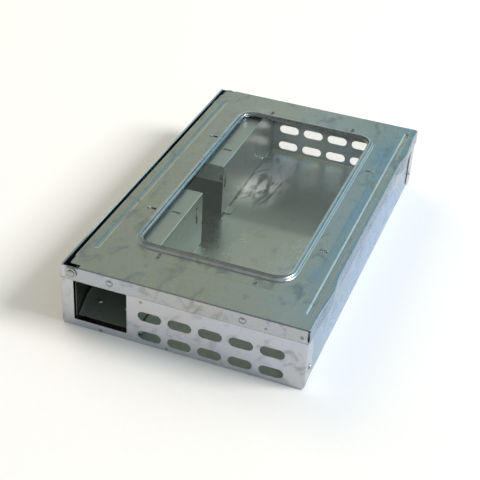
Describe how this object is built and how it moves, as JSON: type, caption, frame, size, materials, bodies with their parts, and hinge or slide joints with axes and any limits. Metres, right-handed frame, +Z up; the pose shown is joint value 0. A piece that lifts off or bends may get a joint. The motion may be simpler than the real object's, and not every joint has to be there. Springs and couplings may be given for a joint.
{
  "type": "multiple-catch mouse trap",
  "caption": "Low folded-sheet live trap box: hinged lid with a clear lipped window, an entrance in each end, vent slots, and a side tunnel with see-saw ramps.",
  "frame": {"origin": "centre of the footprint, rivet heads included, on the surface that the trap stands on", "axes": "+Z up; +Y from the front end to the rear end, along the tunnel; +X across, from the hinge and tunnel side to the chamber side"},
  "size_m": [0.163, 0.2706, 0.0475],
  "materials": {
    "galvanised_sheet": "galvanised, faint spangle, light handling marks",
    "zinc_hardware": "bright zinc plate",
    "dull_steel": "plain rolled bar, dull",
    "clear_plastic": "clear, glossy"
  },
  "bodies": {
    "base": {"base_tray": "galvanised_sheet", "front_panel": "galvanised_sheet", "rear_panel": "galvanised_sheet", "front_tunnel": "galvanised_sheet", "rear_tunnel": "galvanised_sheet", "front_axle": "zinc_hardware", "rear_axle": "zinc_hardware", "front_axle_clip_left": "zinc_hardware", "front_axle_clip_right": "zinc_hardware", "rear_axle_clip_left": "zinc_hardware", "rear_axle_clip_right": "zinc_hardware", "front_hinge_rivet": "zinc_hardware", "rear_hinge_rivet": "zinc_hardware", "front_hinge_washer": "zinc_hardware", "rear_hinge_washer": "zinc_hardware", "corner_rivet_front_left": "zinc_hardware", "corner_rivet_front_right": "zinc_hardware", "corner_rivet_rear_left": "zinc_hardware", "corner_rivet_rear_right": "zinc_hardware"},
    "lid": {"lid": "galvanised_sheet", "window_pane": "clear_plastic"},
    "front_ramp": {"front_ramp": "galvanised_sheet", "front_counterweight": "dull_steel", "front_weight_rivet_left": "zinc_hardware", "front_weight_rivet_right": "zinc_hardware"},
    "rear_ramp": {"rear_ramp": "galvanised_sheet", "rear_counterweight": "dull_steel", "rear_weight_rivet_left": "zinc_hardware", "rear_weight_rivet_right": "zinc_hardware"}
  },
  "joints": [
    {"name": "lid_hinge", "type": "hinge", "parent": "base", "child": "lid", "pos_m": [-0.0726, 0, 0.0402], "axis": [0, -1, 0], "range_deg": [0, 100]},
    {"name": "front_ramp_pivot", "type": "hinge", "parent": "base", "child": "front_ramp", "pos_m": [-0.05285, -0.08695, 0.0182], "axis": [-1, 0, 0], "range_deg": [0, 22]},
    {"name": "rear_ramp_pivot", "type": "hinge", "parent": "base", "child": "rear_ramp", "pos_m": [-0.05285, 0.08695, 0.0182], "axis": [1, 0, 0], "range_deg": [0, 22]}
  ]
}
